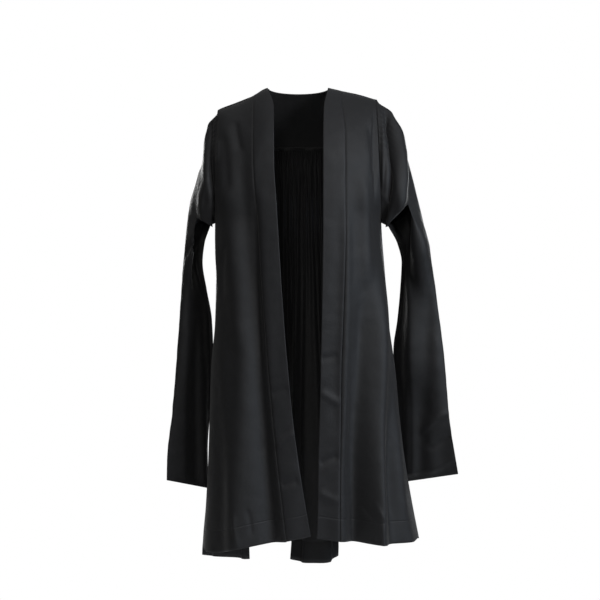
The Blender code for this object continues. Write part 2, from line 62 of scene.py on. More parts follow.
# Soft studio lights. A lamp's size is its width in metres, or the sun's angle in radians.
Lamp = namedtuple("Lamp", "name kind place power size colour")
LAMPS = (
    Lamp("key_light", "AREA", (2.2, -2.6, 1.0), 60.0, 1.0, (0.95, 0.97, 1.0)),
    Lamp("fill_light", "AREA", (-0.3, -4.2, 1.2), 26.0, 1.0, (1.0, 0.99, 0.95)),
    Lamp("side_light", "AREA", (2.9, -1.6, -0.2), 30.0, 1.2, (0.72, 0.85, 1.0)),
    Lamp("back_light_right", "AREA", (-1.5, 3.6, -0.1), 56.0, 1.2, (1.0, 1.0, 1.0)),
    Lamp("back_light_left", "AREA", (1.9, 3.5, -0.1), 30.0, 1.2, (0.95, 0.98, 1.0)),
    Lamp("overhead_light", "SUN", (0.0, -0.8, 4.0), 0.45, 0.9, (1.0, 1.0, 1.0)),
)

# Seams
SIDE_SEAM = 0.0002
BAND_SEAM = 0.0002
YOKE_LAP = 0.0014
ARMHOLE_SEAM = 0.0003
SHOULDER_SEAM = 0.0002
BAND_LIFT = 0.0024
SEAM_TUCK = 0.0024
BAND_TUCK = 0.0012
SEAM_REACH = 0.0045
SEAM_FADE = 0.030

# The worn shape
UNDERARM_Z = -0.345
YOKE_Z = -0.150
NECK_HALF_WIDTH = 0.078
NECK_BACK_Z = -0.012
NECK_BAND_WIDTH = 0.022
NECK_BAND_SETBACK = 0.0015
SHOULDER_ROUND = 0.190
SHOULDER_POWER = 0.56
SHOULDER_MIDDLE_X = 0.120
TOP_CROWDING = 1.4
SECTION_POWER = 2.5
ARMHOLE_WRAP = 0.09
ARMHOLE_WRAP_HEIGHT = 0.080
FOLD_FREE_SHARE = 0.86
CREASE_FREE_SHARE = 0.93
TANGENT_STEP = 0.05
ARM_SHARE_OF_YOKE = 1 / 3

# Shares of the yoke's top that the fronts, their bands and the neck take
FRONT_SHARE = 11
BAND_SHARE = 2
NECK_SHARE = 8

Depth = namedtuple("Depth", "z front back")
DEPTHS = (
    Depth(0.00, 0.100, 0.120),
    Depth(-0.10, 0.115, 0.132),
    Depth(-0.20, 0.130, 0.140),
    Depth(-0.36, 0.142, 0.142),
    Depth(-0.80, 0.152, 0.146),
    Depth(-1.20, 0.166, 0.150),
)

# Opening edge, band seam and side seam, level by level
Level = namedtuple("Level", "z edge seam side")
RIGHT_LEVELS = (
    Level(0.00, 0.079, 0.116, 0.2060),
    Level(-0.05, 0.063, 0.115, 0.2067),
    Level(-0.12, 0.062, 0.115, 0.2077),
    Level(-0.20, 0.061, 0.114, 0.2091),
    Level(-0.28, 0.056, 0.110, 0.2105),
    Level(-0.36, 0.051, 0.105, 0.2119),
    Level(-0.48, 0.044, 0.097, 0.2125),
    Level(-0.60, 0.036, 0.087, 0.2155),
    Level(-0.72, 0.026, 0.077, 0.2260),
    Level(-0.84, 0.014, 0.066, 0.2300),
    Level(-0.96, -0.002, 0.053, 0.2340),
    Level(-1.06, -0.018, 0.041, 0.2393),
    Level(-1.20, -0.042, 0.024, 0.2485),
)
LEFT_LEVELS = (
    Level(0.00, 0.0760, 0.110, 0.2015),
    Level(-0.05, 0.0648, 0.113, 0.2023),
    Level(-0.12, 0.0625, 0.119, 0.2051),
    Level(-0.20, 0.0623, 0.119, 0.2082),
    Level(-0.28, 0.0621, 0.119, 0.2113),
    Level(-0.36, 0.0619, 0.118, 0.2144),
    Level(-0.48, 0.0605, 0.115, 0.2238),
    Level(-0.60, 0.0582, 0.111, 0.2333),
    Level(-0.72, 0.0559, 0.107, 0.2498),
    Level(-0.84, 0.0529, 0.106, 0.2611),
    Level(-0.96, 0.0498, 0.105, 0.2760),
    Level(-1.06, 0.0489, 0.104, 0.2930),
    Level(-1.20, 0.0440, 0.103, 0.3205),
)

# The shoulder line, outwards from the middle of the neck
Shoulder = namedtuple("Shoulder", "x z")
RIGHT_SHOULDER = (
    Shoulder(0.000, 0.007),
    Shoulder(0.040, 0.006),
    Shoulder(0.060, 0.004),
    Shoulder(0.079, 0.000),
    Shoulder(0.126, -0.024),
    Shoulder(0.162, -0.042),
    Shoulder(0.206, -0.059),
)
LEFT_SHOULDER = (
    Shoulder(0.000, 0.007),
    Shoulder(0.040, 0.006),
    Shoulder(0.060, 0.004),
    Shoulder(0.076, 0.001),
    Shoulder(0.134, -0.012),
    Shoulder(0.186, -0.026),
    Shoulder(0.202, -0.029),
)

# The fronts' hems, outwards from the middle line
Hem = namedtuple("Hem", "x z")
RIGHT_HEM = (
    Hem(-0.030, -1.135),
    Hem(0.019, -1.147),
    Hem(0.066, -1.157),
    Hem(0.117, -1.175),
    Hem(0.157, -1.187),
    Hem(0.200, -1.190),
    Hem(0.246, -1.186),
)
LEFT_HEM = (
    Hem(0.047, -1.141),
    Hem(0.098, -1.148),
    Hem(0.190, -1.161),
    Hem(0.245, -1.163),
    Hem(0.280, -1.160),
    Hem(0.312, -1.167),
)

# The main folds of the fronts. Places are shares from the band seam to the side seam, at the
# underarm and at the hem; depths are outwards at the hem, and a fold grows from its start.
Fold = namedtuple("Fold", "above below half_width depth start")
RIGHT_FOLDS = (
    Fold(0.16, 0.16, 0.13, -0.010, 0.05),
    Fold(0.34, 0.56, 0.17, 0.020, 0.00),
    Fold(0.80, 0.80, 0.13, -0.003, 0.25),
)
LEFT_FOLDS = (
    Fold(0.02, 0.02, 0.10, 0.006, 0.10),
    Fold(0.16, 0.20, 0.13, -0.016, 0.20),
    Fold(0.46, 0.44, 0.14, 0.018, 0.15),
    Fold(0.70, 0.72, 0.11, -0.012, 0.30),
    Fold(0.88, 0.88, 0.08, 0.006, 0.40),
)

# The gathered back: crests and troughs of its flutes where they reach the hem, from the
# right side seam to the left one. Here x is signed.
Flute = namedtuple("Flute", "x y z")
Place = namedtuple("Place", "index x y z")
FLUTES = (
    Flute(-0.251, 0.036, -1.218),
    Flute(-0.186, 0.066, -1.230),
    Flute(-0.1295, 0.092, -1.240),
    Flute(-0.141, 0.200, -1.206),
    Flute(-0.078, 0.146, -1.198),
    Flute(-0.015, 0.208, -1.204),
    Flute(-0.022, 0.092, -1.240),
    Flute(0.054, 0.074, -1.248),
    Flute(0.106, 0.096, -1.231),
    Flute(0.100, 0.206, -1.200),
    Flute(0.162, 0.150, -1.196),
    Flute(0.205, 0.196, -1.190),
    Flute(0.246, 0.100, -1.182),
)
GATHER_DEPTH = 0.0035
GATHER_DEPTH_BELOW = 0.0075
GATHER_GROWTH = 0.110
FLUTE_POWER = 1.5
FLUTE_ROUNDNESS = 0.9

# Outer and inner edges of the sleeves
Run = namedtuple("Run", "z x y")
RIGHT_OUTER = (
    Run(-0.059, 0.2085, 0.000),
    Run(-0.070, 0.2235, 0.002),
    Run(-0.092, 0.2337, 0.004),
    Run(-0.130, 0.2400, 0.006),
    Run(-0.180, 0.2450, 0.008),
    Run(-0.235, 0.2600, 0.010),
    Run(-0.289, 0.2800, 0.012),
    Run(-0.360, 0.2905, 0.014),
    Run(-0.480, 0.3007, 0.015),
    Run(-0.600, 0.3094, 0.015),
    Run(-0.720, 0.3180, 0.014),
    Run(-0.840, 0.3295, 0.012),
    Run(-0.960, 0.3445, 0.010),
    Run(-1.020, 0.3462, 0.010),
)
LEFT_OUTER = (
    Run(-0.029, 0.2040, 0.000),
    Run(-0.050, 0.2356, 0.002),
    Run(-0.120, 0.2638, 0.006),
    Run(-0.200, 0.2875, 0.010),
    Run(-0.280, 0.3089, 0.012),
    Run(-0.360, 0.3280, 0.014),
    Run(-0.480, 0.3512, 0.015),
    Run(-0.600, 0.3680, 0.015),
    Run(-0.720, 0.3816, 0.014),
    Run(-0.840, 0.3924, 0.012),
    Run(-0.960, 0.4120, 0.010),
    Run(-1.020, 0.4225, 0.010),
)
RIGHT_INNER = (
    Run(-0.352, 0.228, 0.000),
    Run(-0.400, 0.245, 0.020),
    Run(-0.450, 0.251, 0.036),
    Run(-0.520, 0.241, 0.046),
    Run(-0.600, 0.228, 0.057),
    Run(-0.680, 0.225, 0.060),
    Run(-0.760, 0.229, 0.066),
    Run(-0.860, 0.235, 0.068),
    Run(-0.940, 0.240, 0.066),
    Run(-1.060, 0.239, 0.062),
)
LEFT_INNER = (
    Run(-0.355, 0.233, 0.000),
    Run(-0.400, 0.258, 0.020),
    Run(-0.450, 0.270, 0.036),
    Run(-0.520, 0.267, 0.046),
    Run(-0.600, 0.260, 0.052),
    Run(-0.680, 0.250, 0.056),
    Run(-0.760, 0.251, 0.058),
    Run(-0.860, 0.260, 0.060),
    Run(-0.960, 0.270, 0.062),
    Run(-1.060, 0.279, 0.064),
)

# Level lines round the sleeve at its slit, from the outer edge to the underarm seam
Loop = namedtuple("Loop", "share x y z")
RIGHT_LIP = (
    Loop(0.000, 0.2875, 0.013, -0.340),
    Loop(0.333, 0.2620, -0.030, -0.333),
    Loop(0.550, 0.2460, -0.060, -0.341),
    Loop(0.780, 0.2200, -0.050, -0.357),
    Loop(1.000, 0.2280, 0.000, -0.352),
)
RIGHT_LOW_LIP = (
    Loop(0.000, 0.2875, 0.013, -0.340),
    Loop(0.333, 0.2620, -0.030, -0.333),
    Loop(0.500, 0.2710, 0.016, -0.338),
    Loop(0.670, 0.2650, 0.044, -0.345),
    Loop(0.850, 0.2480, 0.042, -0.350),
    Loop(1.000, 0.2280, 0.000, -0.352),
)
RIGHT_BACK_LOOP = (
    Loop(0.000, 0.2875, 0.013, -0.340),
    Loop(0.250, 0.2860, 0.058, -0.340),
    Loop(0.500, 0.2680, 0.088, -0.342),
    Loop(0.750, 0.2440, 0.080, -0.348),
    Loop(1.000, 0.2280, 0.000, -0.352),
)
LEFT_LIP = (
    Loop(0.000, 0.3135, 0.013, -0.302),
    Loop(0.333, 0.2816, -0.034, -0.300),
    Loop(0.550, 0.2550, -0.064, -0.324),
    Loop(0.780, 0.2230, -0.052, -0.357),
    Loop(1.000, 0.2330, 0.000, -0.355),
)
LEFT_LOW_LIP = (
    Loop(0.000, 0.3135, 0.013, -0.302),
    Loop(0.333, 0.2816, -0.034, -0.300),
    Loop(0.500, 0.2910, 0.020, -0.308),
    Loop(0.670, 0.2770, 0.050, -0.324),
    Loop(0.850, 0.2500, 0.046, -0.344),
    Loop(1.000, 0.2330, 0.000, -0.355),
)
LEFT_BACK_LOOP = (
    Loop(0.000, 0.3135, 0.013, -0.302),
    Loop(0.250, 0.3080, 0.060, -0.306),
    Loop(0.500, 0.2860, 0.088, -0.320),
    Loop(0.750, 0.2520, 0.080, -0.340),
    Loop(1.000, 0.2330, 0.000, -0.355),
)

# The hanging sleeve down to its closed foot: half its thickness, how far its section bends
# backwards, and half the gap between the edges of its layers
Thick = namedtuple("Thick", "share half bulge edge")
SLEEVE_THICKNESS = (
    Thick(0.00, 0.0200, 0.070, 0.0003),
    Thick(0.15, 0.0195, 0.066, 0.0003),
    Thick(0.30, 0.0180, 0.055, 0.0003),
    Thick(0.60, 0.0130, 0.030, 0.0003),
    Thick(0.85, 0.0060, 0.014, 0.0003),
    Thick(1.00, 0.0000, 0.006, 0.0003),
)
SLEEVE_SETTLE = 0.36
SLIT_EDGE = 0.0002
CLOSED_EDGE = 0.0003
CAP_PUFF = 0.018
CAP_SWELL_SHARE = 0.12
CAP_SWELL_POWER = 1.5
SLIT_SHARE = 1 / 3
BACK_CREASE_SHARE = 0.4
HEAD_GATHERS = 19
HEAD_GATHER_DEPTH = 0.0006

# Creases are soft troughs, with a depth below zero, or ridges. Each runs from its upper end
# (x, z) to its lower end (foot_x, foot_z), bowed sideways, and leans to its outer side.
Crease = namedtuple("Crease", "x z foot_x foot_z bow half_width depth lean")
RIGHT_CREASES = (
    Crease(0.158, -0.300, 0.150, -0.700, 0.004, 0.022, 0.0085, 0.0),
    Crease(0.112, -0.220, 0.096, -0.760, 0.002, 0.012, -0.0060, 0.0),
    Crease(0.186, 0.080, 0.192, -0.560, 0.000, 0.036, 0.0100, 0.0),
    Crease(0.210, -0.480, 0.138, -1.330, 0.000, 0.024, 0.0070, 0.0),
    Crease(0.201, -0.070, 0.200, -0.140, 0.002, 0.004, -0.0030, 0.0),
    Crease(0.199, -0.130, 0.199, -0.200, -0.002, 0.004, 0.0030, 0.0),
    Crease(0.156, -0.060, 0.050, -1.400, 0.000, 0.022, -0.0120, 0.0),
    Crease(0.160, -0.080, 0.146, -0.175, 0.003, 0.010, -0.0050, 0.0),
    Crease(0.190, -0.100, 0.176, -0.280, -0.004, 0.010, -0.0040, 0.0),
    Crease(0.172, -0.380, 0.196, -0.560, 0.004, 0.010, -0.0030, 0.0),
    Crease(0.004, -0.870, 0.062, -0.915, 0.002, 0.009, 0.0030, 0.0),
    Crease(-0.004, -0.990, 0.052, -1.005, -0.002, 0.010, -0.0030, 0.0),
    Crease(0.020, -0.760, 0.074, -0.780, 0.002, 0.010, -0.0020, 0.0),
    Crease(0.150, -1.070, 0.138, -1.170, 0.003, 0.005, 0.0030, 0.0),
    Crease(0.126, -1.060, 0.116, -1.140, -0.003, 0.005, -0.0026, 0.0),
)
LEFT_CREASES = (
    Crease(0.120, -0.240, 0.116, -1.000, 0.002, 0.014, 0.0065, 0.0),
    Crease(0.166, -0.420, 0.156, -1.360, -0.002, 0.020, -0.0160, 0.0),
    Crease(0.210, -0.400, 0.190, -1.360, 0.004, 0.019, 0.0180, 0.0),
    Crease(0.244, -0.560, 0.260, -1.330, 0.000, 0.018, 0.0070, 0.0),
    Crease(0.191, -0.050, 0.193, -0.300, 0.002, 0.004, -0.0034, 0.0),
    Crease(0.198, -0.050, 0.199, -0.260, 0.000, 0.004, -0.0026, 0.0),
    Crease(0.180, -0.090, 0.196, -0.240, 0.003, 0.009, -0.0040, 0.0),
    Crease(0.160, -0.200, 0.176, -0.520, 0.004, 0.016, 0.0050, 0.0),
    Crease(0.050, -0.770, 0.106, -0.805, 0.002, 0.009, 0.0030, 0.0),
    Crease(0.048, -0.955, 0.106, -0.930, 0.002, 0.010, -0.0034, 0.0),
    Crease(0.048, -1.020, 0.105, -1.050, -0.002, 0.009, 0.0028, 0.0),
    Crease(0.052, -0.690, 0.104, -0.680, 0.001, 0.010, -0.0024, 0.0),
    Crease(0.164, -1.055, 0.184, -1.105, 0.002, 0.004, -0.0034, 0.0),
    Crease(0.180, -1.045, 0.198, -1.100, -0.002, 0.004, 0.0034, 0.0),
    Crease(0.192, -1.090, 0.193, -1.200, 0.000, 0.004, 0.0040, 0.0),
)

# Creases of the sleeves, above the slit and below it
RIGHT_CAP_CREASES = (
    Crease(0.223, -0.060, 0.203, -0.285, 0.009, 0.007, -0.0090, 0.0),
    Crease(0.236, -0.070, 0.222, -0.320, 0.006, 0.009, 0.0050, 0.0),
    Crease(0.215, -0.075, 0.212, -0.200, 0.003, 0.005, 0.0040, 0.0),
    Crease(0.252, -0.180, 0.250, -0.360, 0.003, 0.012, 0.0035, 0.0),
    Crease(0.230, -0.240, 0.262, -0.345, -0.006, 0.008, -0.0025, 0.0),
)
LEFT_CAP_CREASES = (
    Crease(0.208, -0.035, 0.208, -0.300, 0.000, 0.0035, -0.0050, 0.0),
    Crease(0.214, -0.035, 0.213, -0.280, 0.001, 0.004, 0.0040, 0.0),
    Crease(0.214, -0.020, 0.207, -0.375, 0.028, 0.0085, -0.0180, 0.0),
    Crease(0.242, -0.030, 0.246, -0.365, 0.020, 0.012, 0.0150, 0.0),
    Crease(0.278, -0.160, 0.290, -0.320, 0.003, 0.010, -0.0030, 0.0),
)
RIGHT_HANGING_CREASES = (
    Crease(0.252, -0.420, 0.256, -1.160, 0.004, 0.014, 0.0070, 0.0),
    Crease(0.262, -0.380, 0.290, -0.440, 0.004, 0.008, -0.0050, 0.0),
    Crease(0.256, -0.400, 0.300, -0.500, 0.010, 0.012, 0.0045, 0.0),
    Crease(0.268, -0.560, 0.262, -1.160, 0.004, 0.010, -0.0050, 0.2),
    Crease(0.292, -0.460, 0.306, -1.160, -0.004, 0.014, 0.0040, 0.0),
    Crease(0.244, -0.640, 0.250, -1.150, 0.000, 0.008, 0.0030, 0.0),
)
LEFT_HANGING_CREASES = (
    Crease(0.300, -0.300, 0.322, -0.840, 0.000, 0.030, 0.0240, 0.0),
    Crease(0.350, -0.560, 0.350, -1.260, 0.000, 0.024, 0.0110, 0.0),
    Crease(0.284, -0.520, 0.294, -1.200, 0.000, 0.028, 0.0180, 0.0),
    Crease(0.300, -0.330, 0.306, -1.180, 0.005, 0.009, 0.0040, 0.2),
    Crease(0.276, -0.460, 0.276, -1.160, 0.003, 0.012, -0.0060, 0.0),
    Crease(0.330, -0.420, 0.338, -0.900, 0.004, 0.016, -0.0045, 0.0),
    Crease(0.318, -0.905, 0.402, -0.835, 0.006, 0.008, 0.0045, 0.3),
    Crease(0.330, -0.940, 0.410, -0.890, -0.005, 0.010, -0.0040, 0.0),
    Crease(0.340, -1.010, 0.425, -0.950, 0.004, 0.008, 0.0035, 0.0),
    Crease(0.352, -0.600, 0.372, -0.900, 0.006, 0.014, 0.0035, 0.0),
)

Side = namedtuple(
    "Side",
    "name sign levels shoulder hem folds creases outer inner lip low_lip back_loop "
    "foot_outer foot_inner sleeve_cut sleeve_area cap_creases hanging_creases",
)
RIGHT = Side(
    "right", -1, RIGHT_LEVELS, RIGHT_SHOULDER, RIGHT_HEM, RIGHT_FOLDS, RIGHT_CREASES,
    RIGHT_OUTER, RIGHT_INNER, RIGHT_LIP, RIGHT_LOW_LIP, RIGHT_BACK_LOOP, -1.017, -1.046,
    (0.19, 1.02), 0.130, RIGHT_CAP_CREASES, RIGHT_HANGING_CREASES,
)
LEFT = Side(
    "left", 1, LEFT_LEVELS, LEFT_SHOULDER, LEFT_HEM, LEFT_FOLDS, LEFT_CREASES,
    LEFT_OUTER, LEFT_INNER, LEFT_LIP, LEFT_LOW_LIP, LEFT_BACK_LOOP, -1.001, -1.030,
    (0.22, 1.01), 0.162, LEFT_CAP_CREASES, LEFT_HANGING_CREASES,
)


def mix(start, end, share):
    """The values at a share of the way from start to end."""
    return start * (1 - share) + end * share


def ease(share):
    """Shares that start and end softly."""
    share = np.clip(share, 0.0, 1.0)
    return share * share * (3 - 2 * share)


def read(rows, column, at):
    """A column of a table at places between its rows, on a smooth curve that never overshoots them."""
    rows = sorted(rows)
    keys = np.array([row[0] for row in rows], float)
    values = np.array([getattr(row, column) for row in rows], float)
    steps = np.diff(values) / np.diff(keys)
    before, after = steps[:-1], steps[1:]
    total = np.where(before * after > 0, before + after, 1.0)
    inner = np.where(before * after > 0, 2 * before * after / total, 0.0)
    slopes = np.concatenate([steps[:1], inner, steps[-1:]])
    at = np.clip(at, keys[0], keys[-1])
    place = np.clip(np.searchsorted(keys, at, side="right") - 1, 0, len(keys) - 2)
    length = keys[place + 1] - keys[place]
    t = (at - keys[place]) / length
    return (
        values[place] * (1 + 2 * t) * (1 - t) ** 2
        + slopes[place] * length * t * (1 - t) ** 2
        + values[place + 1] * t * t * (3 - 2 * t)
        + slopes[place + 1] * length * t * t * (t - 1)
    )


def stack(x, y, z):
    """Points from arrays of their x, y and z."""
    x, y, z = np.broadcast_arrays(x, y, z)
    return np.stack([x, y, z], axis=-1).astype(float)


def reach(side, z):
    """Half the width of the body's rounded section, which is wider than the panels at the armholes."""
    wrap = ARMHOLE_WRAP * ease((z - UNDERARM_Z) / ARMHOLE_WRAP_HEIGHT)
    return read(side.levels, "side", z) * (1 + wrap)


def body_depth(side, x, z, facing):
    """How far the body's cloth stands in front of the side seams, or behind them, at a place."""
    drop = np.maximum(read(side.shoulder, "z", np.abs(x)) - z, 0.0)
    rounding = (1 - (1 - np.minimum(drop / SHOULDER_ROUND, 1.0)) ** 2) ** SHOULDER_POWER
    share = np.minimum(np.abs(x) / reach(side, z), 1.0)
    return read(DEPTHS, facing, z) * rounding * (1 - share**SECTION_POWER) ** (1 / SECTION_POWER)


def turn_of(side, x, z):
    """The angle round the body's section at a distance from the middle line."""
    share = np.minimum(np.abs(x) / reach(side, z), 1.0) ** (SECTION_POWER / 2)
    return np.copysign(np.arcsin(share), x)


def spaced(side, start, end, share, z):
    """The distance from the middle at a share of the way round the section between two others."""
    turn = mix(turn_of(side, start, z), turn_of(side, end, z), share)
    return np.copysign(reach(side, z) * np.abs(np.sin(turn)) ** (2 / SECTION_POWER), turn)


def front_outwards(side, x, z):
    """The level direction that points out of a front, for a distance from the middle."""
    turn = turn_of(side, x, z)
    return stack(side.sign * np.sin(turn), -np.cos(turn), 0.0)


def back_outwards(x, z):
    """The level direction that points out of the body behind the side seams. Here x is signed."""
    turn = np.where(x >= 0, turn_of(LEFT, x, z), turn_of(RIGHT, x, z))
    return stack(np.sin(turn), np.cos(turn), 0.0)


def fold_depth(side, share, down):
    """How far the main folds of a front stand out at a share across it, below the underarm."""
    total = 0.0
    for fold in side.folds:
        growth = ease((down - fold.start) / (1 - fold.start)) * (down > fold.start)
        away = (share - mix(fold.above, fold.below, np.maximum(down, 0.0))) / fold.half_width
        total = total + fold.depth * growth * np.exp(-away * away)
    return total * (1 - ease((share - FOLD_FREE_SHARE) / (1 - FOLD_FREE_SHARE)))


def crease_depth(creases, x, z):
    """How far the creases of a table stand out at places given outwards from the middle line."""
    total = np.zeros(np.broadcast(x, z).shape)
    for crease in creases:
        run_x, run_z = crease.foot_x - crease.x, crease.foot_z - crease.z
        length = math.hypot(run_x, run_z)
        share = ((x - crease.x) * run_x + (z - crease.z) * run_z) / length**2
        away = ((z - crease.z) * run_x - (x - crease.x) * run_z) / length
        inside = np.clip(share, 0.0, 1.0)
        away = away - crease.bow * 4 * inside * (1 - inside)
        width = crease.half_width * (1 + crease.lean * np.sign(away))
        window = ease(share / 0.25) * ease((1 - share) / 0.25)
        total += crease.depth * window * np.exp(-((away / width) ** 2))
    return total


def hanging_ripples(points, seed, across=0.045, down=0.34, depth=0.0022):
    """Long soft ripples of hanging cloth, as a distance outwards at each point."""
    flat = points.reshape(-1, 3)
    values = [
        noise.noise(Vector((p[0] / across + seed, p[1] / across - seed, p[2] / down)))
        for p in flat
    ]
    return depth * np.array(values).reshape(points.shape[:-1])


def small_creases(points, seed, size=0.030, depth=0.0008):
    """Small uneven creases, as a distance outwards at each point."""
    flat = points.reshape(-1, 3)
    values = [noise.noise(Vector((p[0] / size + seed, p[1] / size, p[2] / size))) for p in flat]
    return depth * np.array(values).reshape(points.shape[:-1])


def normals_of(points):
    """The normals of a grid of points."""
    normals = np.cross(np.gradient(points, axis=1), np.gradient(points, axis=0))
    return normals / np.maximum(np.linalg.norm(normals, axis=-1, keepdims=True), 1e-12)


def lengths_along(points, axis):
    """Each point's distance from the grid's first row or column, along the cloth."""
    steps = np.linalg.norm(np.diff(points, axis=axis), axis=-1)
    start = np.zeros_like(np.take(steps, [0], axis=axis))
    return np.concatenate([start, np.cumsum(steps, axis=axis)], axis=axis)


def tucked(points, outwards, left=0.0, right=0.0, top=0.0, from_top=False):
    """A grid of points whose borders turn in as deep as each says, as cloth does into a seam.

    With from_top the side borders start flush at the first row, where the seam ends in an outline."""
    across = lengths_along(points, 1)
    down = lengths_along(points, 0)
    depth = np.zeros(points.shape[:-1])
    sides = ease(down / SEAM_FADE) if from_top else 1.0
    borders = (
        (left, across, sides),
        (right, across[:, -1:] - across, sides),
        (top, down, ease(across / SEAM_FADE)),
    )
    for tuck, distance, share in borders:
        depth = np.maximum(depth, tuck * share * (1 - ease(distance / SEAM_REACH)))
    return points - outwards * depth[..., None]


def fall_rows(arm_rows, fall_rows_below):
    """Fall at each row: 0 at the top, 1 at the underarm and 2 at the hem."""
    above = np.linspace(0.0, 1.0, arm_rows + 1)
    below = np.linspace(1.0, 2.0, fall_rows_below + 1)[1:]
    return np.concatenate([above, below])[:, None]


def front_grid(side, start, end, across, fall):
    """Points of a front between two columns of the levels."""
    top_z = read(side.shoulder, "z", SHOULDER_MIDDLE_X)
    top_x = mix(read(side.levels, start, top_z), read(side.levels, end, top_z), across)
    shoulder_z = read(side.shoulder, "z", top_x)
    low_start, low_end = read(side.levels, start, side.hem[0].z), read(side.levels, end, side.hem[-1].z)
    hem_z = read(side.hem, "z", mix(low_start, low_end, across))
    above = mix(shoulder_z, UNDERARM_Z, np.minimum(fall, 1.0) ** TOP_CROWDING)
    z = np.where(fall < 1, above, mix(UNDERARM_Z, hem_z, fall - 1))
    x = spaced(side, read(side.levels, start, z), read(side.levels, end, z), across, z)
    y = -body_depth(side, x, z, "front")
    seam_x = read(side.levels, "seam", z)
    share = (x - seam_x) / (read(side.levels, "side", z) - seam_x)
    outwards = front_outwards(side, x, z)
    free = 1 - ease((share - FOLD_FREE_SHARE) / (1 - FOLD_FREE_SHARE))
    points = stack(side.sign * x, y, z)
    depth = fold_depth(side, share, fall - 1)
    near_seam = 1 - ease((share - CREASE_FREE_SHARE) / (1 - CREASE_FREE_SHARE))
    depth = depth + crease_depth(side.creases, x, z) * near_seam
    depth = depth + hanging_ripples(points, side.sign * 7.3) * free * ease((0.2 - z) / 0.5)
    depth = depth + small_creases(points, side.sign * 3.1) * free
    points += outwards * depth[..., None]
    points[..., 1] -= SHOULDER_SEAM / 2 * np.maximum(1 - fall, 0.0)
    return points, outwards


def armhole_grid(side, facing, t):
    """The armhole's seam, from the shoulder's tip to the underarm."""
    tip_z = read(side.shoulder, "z", read(side.levels, "side", 0.0))
    if facing == "front":
        z = mix(tip_z, UNDERARM_Z, t**TOP_CROWDING)
    else:
        upper = np.minimum(t / ARM_SHARE_OF_YOKE, 1.0) ** TOP_CROWDING
        lower = (t - ARM_SHARE_OF_YOKE) / (1 - ARM_SHARE_OF_YOKE)
        z = np.where(t <= ARM_SHARE_OF_YOKE, mix(tip_z, YOKE_Z, upper), mix(YOKE_Z, UNDERARM_Z, lower))
    x = read(side.levels, "side", z)
    depth = body_depth(side, x, z, facing)
    return stack(x, -depth if facing == "front" else depth, z)


def shoulder_line(side, inwards):
    """The shoulder seam, for steps of the yoke's top counted from its tip."""
    on_front = np.clip(1 - inwards / FRONT_SHARE, 0.0, 1.0)
    on_band = np.clip(1 - (inwards - FRONT_SHARE) / BAND_SHARE, 0.0, 1.0)
    top_z = read(side.shoulder, "z", SHOULDER_MIDDLE_X)
    edge, seam, tip = (read(side.levels, column, top_z) for column in ("edge", "seam", "side"))
    front_z = read(side.shoulder, "z", mix(seam, tip, on_front))
    band_z = read(side.shoulder, "z", mix(edge, seam, on_band))
    z = np.where(inwards <= FRONT_SHARE, front_z, band_z)
    edge, seam, tip = (read(side.levels, column, z) for column in ("edge", "seam", "side"))
    x = np.where(
        inwards <= FRONT_SHARE,
        spaced(side, seam, tip, on_front, z),
        spaced(side, edge, seam, on_band, z),
    )
    return side.sign * x, z


def yoke_grid(across, down):
    """Points of the yoke. across runs from the right armhole to the left one."""
    columns = FRONT_SHARE + BAND_SHARE
    total = 2 * columns + NECK_SHARE
    column = across * total
    right_x, right_z = shoulder_line(RIGHT, np.clip(column, 0.0, columns))
    left_x, left_z = shoulder_line(LEFT, np.clip(total - column, 0.0, columns))
    angle = math.pi * np.clip((column - columns) / NECK_SHARE, 0.0, 1.0)
    neck_x, neck_z = -NECK_HALF_WIDTH * np.cos(angle), NECK_BACK_Z * np.sin(angle)
    top_x = np.where(column < columns, right_x, np.where(column > total - columns, left_x, neck_x))
    top_z = np.where(column < columns, right_z, np.where(column > total - columns, left_z, neck_z))
    right_low = -read(RIGHT.levels, "side", YOKE_Z)
    left_low = read(LEFT.levels, "side", YOKE_Z)
    x = mix(top_x, mix(right_low, left_low, across), down**TOP_CROWDING)
    z = mix(top_z, YOKE_Z, down**TOP_CROWDING)
    depth = np.where(x >= 0, body_depth(LEFT, x, z, "back"), body_depth(RIGHT, x, z, "back"))
    return stack(x, depth + SHOULDER_SEAM / 2 * (1 - down), z)


def flute_rows():
    """The flutes with the side seams added as first and last, each with its place in the row."""
    ends = [
        Flute(side.sign * float(read(side.levels, "side", side.hem[-1].z)), SIDE_SEAM, side.hem[-1].z)
        for side in (RIGHT, LEFT)
    ]
    rows = [ends[0], *FLUTES, ends[1]]
    return [Place(index, *row) for index, row in enumerate(rows)]


def back_base(across, z):
    """The back at a level before its cloth is gathered, with the direction out of it."""
    right, left = read(RIGHT.levels, "side", z), read(LEFT.levels, "side", z)
    turn = mix(turn_of(RIGHT, -right, z), turn_of(LEFT, left, z), across)
    on_left = turn >= 0
    width = np.where(on_left, reach(LEFT, z), reach(RIGHT, z))
    round_x = np.copysign(width * np.abs(np.sin(turn)) ** (2 / SECTION_POWER), turn)
    x = mix(mix(-right, left, across), round_x, (2 * across - 1) ** 2)
    depth = np.where(on_left, body_depth(LEFT, x, z, "back"), body_depth(RIGHT, x, z, "back"))
    return stack(x, depth + SIDE_SEAM, z), back_outwards(x, z)


def fine_gathers(across, below):
    """The small gathers that the back is sewn up with, which run out into soft folds."""
    uneven = 3.1 * np.sin(across * 23.0) + 1.7 * np.sin(across * 61.0 + 1.0)
    fine = np.sin(2 * math.pi * across * 74 + uneven)
    middle = np.sin(2 * math.pi * across * 31 + 2.3 * np.sin(across * 17.0 + 2.0))
    fine_share = ease(below / 0.006) * (1 - ease((below - 0.010) / 0.150))
    middle_share = ease(below / 0.050) * (1 - 0.75 * ease((below - 0.060) / 0.650))
    return 0.0019 * fine * fine_share + 0.0030 * middle * middle_share


